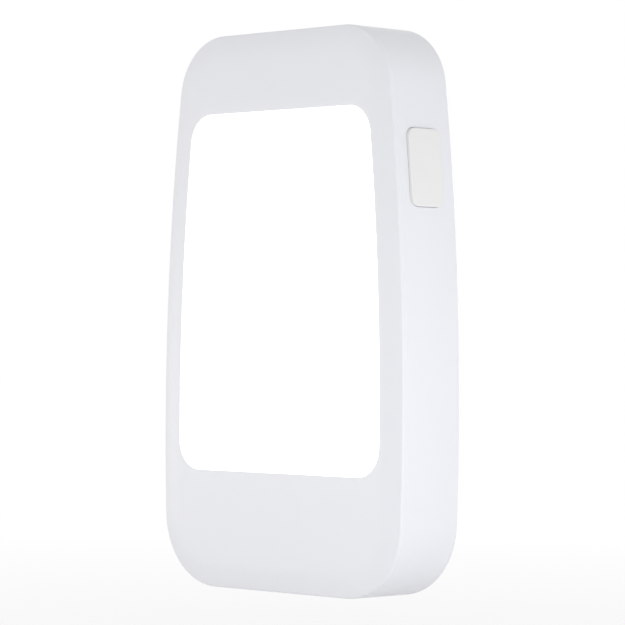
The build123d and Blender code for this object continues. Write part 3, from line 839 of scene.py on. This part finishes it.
def cross(place, depth, half, width):
    """The twelve corners of a cross recess at a depth."""
    arm = [(half, -width / 2), (half, width / 2), (width / 2, width / 2)]
    ring = []
    for quarter in range(4):
        way = (cos(pi / 2 * quarter), sin(pi / 2 * quarter))
        for x, z in arm:
            ring.append(
                Vector((place[0] + x * way[0] - z * way[1], -depth, place[1] + x * way[1] + z * way[0]))
            )
    return ring


def screw(name, place, seat, way, shank_length, shank_radius, head_radius, head_height):
    """One screw whose head faces the room (way 1) or the wall (way -1)."""
    rings = []
    turns = [2 * pi * i / thread_turn_steps for i in range(thread_turn_steps)]

    def ring(radius_at, depth):
        reaches = [(radius_at(t), t) for t in turns]
        rings.append([Vector((place[0] + r * cos(t), -depth, place[1] + r * sin(t))) for r, t in reaches])

    for i in range(1, dome_steps + 1):
        rise = pi / 2 * i / dome_steps
        depth = seat + way * head_height * (1 - dome_share * (1 - cos(rise)))
        ring(lambda t: head_radius * sin(rise), depth)
    ring(lambda t: head_radius, seat)
    count = round(shank_length / thread_pitch * thread_rings)
    for i in range(count + 1):
        along = shank_length * i / count
        point = min(1.0, point_share + (1 - point_share) * (shank_length - along) / point_length)

        def thread(t):
            wave = abs(2 * ((along / thread_pitch - way * t / (2 * pi)) % 1) - 1)
            return shank_radius * point * (1 - thread_rise * (1 - wave) * min(1, along / thread_pitch))

        ring(thread, seat - way * along)
    made = piece_from(skin(rings), name)
    top = seat + way * (head_height + overlap)
    floor_depth = seat + way * head_height * (1 - recess_depth_share)
    recess_reach = head_radius * recess_reach_share
    recess = skin(
        [
            cross(place, top, recess_reach, recess_width),
            cross(place, floor_depth, recess_reach * recess_taper, recess_width * recess_floor_share),
        ]
    )
    cut_and_keep(made, [("DIFFERENCE", piece_from(recess, "recess"))])
    dress(made, zinc_plate)
    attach(made, "housing")
    return made


case_shank = -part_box("case_screws")[0].y - counterbore_depth
for name, place in zip(("case_screw_left", "case_screw_right"), post_places):
    made = screw(name, place, counterbore_depth, -1, case_shank, **case_screw)
    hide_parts("case_screws")
retainer_seat = -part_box("retainer_screws")[0].y - retainer_screw["head_height"]
for name, side in (("retainer_screw_upper", 1), ("retainer_screw_lower", -1)):
    made = screw(name, (0, side * retainer_screw_level), retainer_seat, 1, retainer_shank, **retainer_screw)
    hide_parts("retainer_screws")

# ---------------------------------------------------------------- light box and blade retainer
# The flared light box is moulded in a matt, very white polycarbonate that throws the light forward.
# The retainer is a plain plate of the same plastic, held over the blades' shoulders by two screws.
inner_white = (0.88, 0.88, 0.87)
light_box_plastic = moulded_plastic(
    "matt_white_polycarbonate",
    inner_white,
    roughness=0.6,
    grain_size=0.0004,
    grain_depth=0.000006,
    mottle=0.01,
)
for node in ("reflector_frame", "blade_retainer"):
    dress(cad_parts[node], light_box_plastic)

# ---------------------------------------------------------------- LED board and LEDs
# A white masked aluminium board, clamped under the light box, carries three columns of six LEDs. Each
# is a white package with a round cornered well of yellow phosphor, soldered at both ends.
board_front = 0.0092
box_flare = 0.0026
led_edge = 0.0075
led_column_inset = window_margin + box_flare + led_edge
led_corner = 0.00012
well_wall = 0.0003
well_corner = 0.0007
well_sink = 0.00009
well_steps = 5
phosphor_yellow = (0.90, 0.62, 0.10)
track_layout = {"offset": 0.37, "offset_frequency": 3, "squash": 0.7}
track_look = {"Mortar Size": 0.03, "Mortar Smooth": 0.1, "Brick Width": 2.3, "Row Height": 0.8}
track_rise = 0.00003
weave_size = 0.0006
weave_rise = 0.1
mask_roughness = (0.35, 0.15)


def board_mask(name, mask, track_shade, face, pitch, gloss):
    """Solder mask over copper: the tracks show a shade apart and stand up by their thickness."""
    shader = Shader(bpy.data.materials.new(name), "Principled BSDF", coat_weight=gloss)
    flat = shader.node("CombineXYZ", {}, {"X": shader.axis(face[0]), "Y": shader.axis(face[1])})
    look = {"Vector": flat, "Scale": 1 / pitch, **track_look}
    gaps = shader.node("TexBrick", track_layout, look, "Fac")
    weave = shader.noise(weave_size)
    shader.link("Base Color", shader.mix(gaps, tinted(mask, track_shade), tinted(mask)))
    shader.link("Roughness", mask_roughness[0] + weave * mask_roughness[1])
    shader.bump(1 - gaps + weave * weave_rise, track_rise, strength=0.6)
    return shader


def package_ring(place, margin, corner, depth):
    """A round cornered ring of one LED, a margin inside its package."""
    outline = rounded_rectangle(led_size[0] - 2 * margin, led_size[1] - 2 * margin, corner, well_steps)
    return [Vector((place[0] + x, -depth, place[1] + z)) for (x, z), _ in outline]


mask_white = (0.84, 0.85, 0.85)
white_mask = board_mask(
    "white_solder_mask", mask_white, track_shade=0.94, face="XZ", pitch=0.006, gloss=0.2
)
dress(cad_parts["led_board"], white_mask)
package_top = board_front + led_size[2]
package_rings = (
    (0, led_corner, board_front),
    (0, led_corner, package_top - led_corner),
    (led_corner, led_corner, package_top),
    (well_wall, well_corner, package_top),
    (well_wall, well_corner, package_top - well_sink),
)
well_rings = (
    (well_wall, well_corner, package_top - well_sink),
    (well_wall + led_corner, well_corner, package_top - well_sink / 2),
)
led_wells = []
led_bodies = []
for row in range(led_rows):
    level = low_led_level + row * led_row_pitch
    reach = side_across(level) - led_column_inset
    for across in (-reach, 0, reach):
        led_bodies.append(skin([package_ring((across, level), *ring) for ring in package_rings]))
        led_wells.append(skin([package_ring((across, level), *ring) for ring in well_rings]))
package_white = moulded_plastic("led_package_white", inner_white, roughness=0.4)
phosphor_gel = moulded_plastic("led_phosphor_gel", phosphor_yellow, roughness=0.25, grain_size=0.0001)
for meshes, name, shader, slot in (
    (led_bodies, "led_packages", package_white, "white_inner"),
    (led_wells, "led_phosphor", phosphor_gel, "led_phosphor"),
):
    piece = joined(meshes, name)
    dress(piece, shader)
    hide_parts("leds")
    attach(piece, "housing")

# ---------------------------------------------------------------- driver board and its parts
# A green masked glass fibre board in grooved holders in the chin. It carries the film and the
# electrolytic capacitor, the bridge rectifier, the driver chip, a fusible resistor and four chip
# resistors, each soldered by tinned legs or ends.
mask_green = (0.02, 0.16, 0.065)
green_track_shade = 1.7
green_mask = board_mask(
    "green_solder_mask", mask_green, green_track_shade, face="XZ", pitch=0.0031, gloss=0.35
)
dress(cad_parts["driver_board"], green_mask)
tin = (0.72, 0.72, 0.71)
tin_roughness = 0.3
cloud_size = 0.004
cloud_gloss = 0.1
cloud_shade = 0.1
paint_grain = 0.000006


def within(shader, axis, low, high):
    """One where a coordinate lies between two values, and zero elsewhere."""
    middle, half = (low + high) / 2, (high - low) / 2
    return shader.node("Math", {"operation": "COMPARE"}, {0: shader.axis(axis), 1: middle, 2: half})


def body_and_tin(name, colour, roughness, masks, grain_size=0.0002, sheen=0.0, printed=None):
    """A coloured body with bare tinned legs or ends. The masks say where the body is."""
    shader = Shader(bpy.data.materials.new(name), "Principled BSDF", coat_weight=sheen)
    body_here = masks[0](shader)
    for mask in masks[1:]:
        body_here = shader.node("Math", {"operation": "MAXIMUM"}, {0: body_here, 1: mask(shader)})
    grain = shader.noise(grain_size)
    cloud = shader.noise(cloud_size, detail=3.0)
    paint = shader.mix(cloud, tinted(colour, 1 - cloud_shade), tinted(colour, 1 + cloud_shade))
    if printed:
        axis, low, high, stops = printed
        along = (shader.axis(axis) - low) / (high - low)
        band = shader.node("ValToRGB", {"stops": stops}, {"Fac": along})
        mark = shader.node("ValToRGB", {"stops": stops}, {"Fac": along}, "Alpha")
        paint = shader.mix(mark, paint, band)
    shader.link("Base Color", shader.mix(body_here, tinted(tin), paint))
    shader.link("Metallic", 1 - body_here)
    gloss = body_here * (roughness - tin_roughness) + tin_roughness
    shader.link("Roughness", gloss + (cloud - 0.5) * cloud_gloss)
    shader.bump(grain, paint_grain)
    return shader


def body_between(node, axis, inset):
    """A mask for the body of a part whose legs or ends reach an inset beyond it along an axis."""
    low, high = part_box(node)
    number = "XYZ".index(axis)
    return lambda shader: within(shader, axis, low[number] + inset, high[number] - inset)


epoxy_black = (0.022, 0.022, 0.024)
film_red = (0.50, 0.035, 0.03)
fuse_green = (0.03, 0.20, 0.10)
sleeve_black = (0.02, 0.02, 0.025)
can_low, can_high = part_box("electrolytic_capacitor")
can_top = 0.0002
fuse_low, fuse_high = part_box("fusible_resistor")
fuse_wires = 0.00215
rectifier_legs = 0.00143
chip_legs = 0.00103
chip_places = (-0.0115, -0.0016, 0.0022, 0.012)
chip_body_half = 0.00115
bare = (0, 0, 0, 0)
brown, black, gold = (0.16, 0.05, 0.02, 1), (0.01, 0.01, 0.01, 1), (0.62, 0.42, 0.12, 1)
bands = [(0.0, bare), (0.30, brown), (0.37, bare), (0.44, black), (0.51, bare), (0.62, gold), (0.69, bare)]
stripe = [(0.0, bare), (0.9, (0.55, 0.56, 0.58, 1))]
film_case = body_and_tin(
    "red_film_case",
    film_red,
    roughness=0.28,
    masks=[body_between("film_capacitor", "X", 0)],
    grain_size=0.0008,
    sheen=0.3,
)
shrink_sleeve = body_and_tin(
    "black_shrink_sleeve",
    sleeve_black,
    roughness=0.3,
    masks=[lambda shader: within(shader, "Z", can_low.z, can_high.z - can_top)],
    grain_size=0.0006,
    sheen=0.2,
    printed=("X", can_low.x, can_high.x, stripe),
)
rectifier_epoxy = body_and_tin(
    "rectifier_epoxy",
    epoxy_black,
    roughness=0.5,
    masks=[body_between("bridge_rectifier", "Z", rectifier_legs)],
)
chip_epoxy = body_and_tin(
    "chip_epoxy", epoxy_black, roughness=0.5, masks=[body_between("driver_chip", "X", chip_legs)]
)
resistor_paint = body_and_tin(
    "green_resistor_paint",
    fuse_green,
    roughness=0.45,
    masks=[body_between("fusible_resistor", "Z", fuse_wires)],
    grain_size=0.0004,
    printed=("Z", fuse_low.z, fuse_high.z, bands),
)
chip_masks = [
    lambda shader, centre=centre: within(shader, "X", centre - chip_body_half, centre + chip_body_half)
    for centre in chip_places
]
chip_glaze = body_and_tin("chip_resistor_glaze", epoxy_black, roughness=0.35, masks=chip_masks)
for node, shader in (
    ("film_capacitor", film_case),
    ("electrolytic_capacitor", shrink_sleeve),
    ("bridge_rectifier", rectifier_epoxy),
    ("driver_chip", chip_epoxy),
    ("fusible_resistor", resistor_paint),
    ("chip_resistors", chip_glaze),
):
    dress(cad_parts[node], shader)

# ---------------------------------------------------------------- switch
# A small tactile switch on its own board, which stands in slotted holders behind the pad: a black
# nylon base, a sprung steel dome, a folded steel cover, and a black plunger that the pad's stem presses.
nylon_black = (0.025, 0.025, 0.028)
steel = (0.62, 0.61, 0.59)
switch_green = board_mask(
    "switch_board_mask", mask_green, green_track_shade, face="YZ", pitch=0.0024, gloss=0.35
)
switch_nylon = moulded_plastic(
    "black_nylon", nylon_black, roughness=0.45, grain_size=0.0002, mottle=0.05
)
sprung_steel = plated_metal("sprung_steel", steel, roughness=0.3, grain=(1, 0.05, 1))
for node, shader in (
    ("switch_board", switch_green),
    ("switch_base", switch_nylon),
    ("switch_plunger", switch_nylon),
    ("switch_dome", sprung_steel),
    ("switch_cover", sprung_steel),
):
    dress(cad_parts[node], shader)

# ---------------------------------------------------------------- inner leads
# PVC covered stranded wire: live and neutral from the blades, a pair to the LED board's cream nylon
# socket, and a pair to the switch. Each is stripped and soldered at its ends.
nylon_cream = (0.80, 0.74, 0.60)
connector_nylon = moulded_plastic("cream_nylon", nylon_cream, roughness=0.45, grain_size=0.0003)
dress(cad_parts["led_connector"], connector_nylon)
for node, colour in (
    ("live_lead", (0.03, 0.03, 0.03)),
    ("neutral_lead", (0.78, 0.78, 0.76)),
    ("led_lead_positive", (0.55, 0.03, 0.03)),
    ("led_lead_negative", (0.03, 0.03, 0.03)),
    ("switch_lead_signal", (0.75, 0.60, 0.05)),
    ("switch_lead_return", (0.04, 0.12, 0.50)),
):
    pvc = moulded_plastic(
        f"{node}_pvc", colour, roughness=0.4, grain_size=0.0005, grain_depth=0.000008, mottle=0.06
    )
    dress(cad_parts[node], pvc)

# ---------------------------------------------------------------- floor, lights and camera
# A plain white studio: a pale matt floor that fades into white, bright even air, and low soft
# lamps on both sides, with one more behind. The night light hangs a little over the floor.
floor_size = 6.0
floor_gap = 0.012
floor_white = (0.88, 0.88, 0.88, 1)
floor_veil = 0.72
veil_reach = 0.35
air_colour = (0.988, 0.993, 1.0, 1)
air_strength = 0.745
floor_mesh = bmesh.new()
bmesh.ops.create_grid(floor_mesh, x_segments=1, y_segments=1, size=floor_size / 2)
floor = piece_from(floor_mesh, "studio_floor")
floor.location.z = bottom_edge - floor_gap
floor_paint = Shader(
    bpy.data.materials.new("studio_floor_paint"), "Principled BSDF", base_color=floor_white, roughness=0.9
)
away = floor_paint.node("VectorMath", {"operation": "LENGTH"}, {0: floor_paint.place()}, "Value")
clear = floor_paint.node("Math", {"operation": "MINIMUM"}, {0: away / veil_reach, 1: 1.0})
floor_paint.seen_white("Emission", floor_veil + clear * (1 - floor_veil))
dress(floor, floor_paint)

world = bpy.data.worlds.new("studio_air")
bpy.context.scene.world = world
air = Shader(world, "Background", color=air_colour, strength=air_strength)
air.seen_white("Background")

# Each lamp stands at an azimuth, a height over the foot of the night light and a distance, and has a
# width and height, a power and a colour
lamp_aim = Vector((0, -0.008, 0.02))
for name, azimuth, height, distance, size, power, colour in (
    ("left_lamp", -55, 0.03, 0.45, (0.3, 0.05), 0.261, (1.0, 0.988, 0.97)),
    ("left_fill_lamp", -45, 0.12, 0.5, (0.3, 0.2), 0.072, (1.0, 0.985, 1.0)),
    ("right_lamp", 60, 0.03, 0.22, (0.08, 0.05), 0.08, (0.955, 0.975, 1.0)),
    ("near_right_lamp", 95, 0.03, 0.16, (0.06, 0.05), 0.019, (0.97, 0.98, 1.0)),
    ("far_right_lamp", 120, 0.05, 0.4, (0.2, 0.1), 0.041, (0.7, 0.87, 1.0)),
    ("rear_lamp", 200, 0.1, 1.0, (0.6, 0.3), 1.4, (0.98, 0.99, 1.0)),
):
    lamp = bpy.data.lights.new(name, "AREA")
    lamp.shape = "RECTANGLE"
    lamp.size, lamp.size_y = size
    lamp.energy = power
    lamp.color = colour
    stand = bpy.data.objects.new(name, lamp)
    bpy.context.scene.collection.objects.link(stand)
    turn = radians(azimuth)
    stand.location = (sin(turn) * distance, lamp_aim.y - cos(turn) * distance, bottom_edge + height)
    stand.rotation_mode = "QUATERNION"
    stand.rotation_quaternion = (lamp_aim - stand.location).to_track_quat("-Z", "Y")

# The camera stands off the right front corner, nearly level with the middle of the night light
yaw = radians(45.373)
pitch = radians(0.509)
roll = radians(-0.393)
camera_distance = 0.62857
aim_shift = (-0.00514, -0.0001)
frame_width = 625
focal_pixels = 3016.3
middle = Vector((0, 0, (bottom_edge + top_edge) / 2))
level_right = Vector((cos(yaw), sin(yaw), 0))
level_ahead = Vector((-sin(yaw), cos(yaw), 0))
up = Vector((0, 0, 1)) * cos(pitch) - level_ahead * sin(pitch)
ahead = Vector((0, 0, 1)) * sin(pitch) + level_ahead * cos(pitch)
camera_right = level_right * cos(roll) - up * sin(roll)
camera_up = level_right * sin(roll) + up * cos(roll)
camera_data = bpy.data.cameras.new("camera")
camera_data.sensor_width = 36
camera_data.lens = focal_pixels * camera_data.sensor_width / frame_width
camera = bpy.data.objects.new("camera", camera_data)
bpy.context.scene.collection.objects.link(camera)
camera.matrix_world = Matrix.Translation(
    middle + level_right * aim_shift[0] + up * aim_shift[1] - ahead * camera_distance
) @ Matrix((camera_right, camera_up, -ahead)).transposed().to_4x4()
bpy.context.scene.camera = camera
bpy.context.scene.view_settings.view_transform = "Standard"
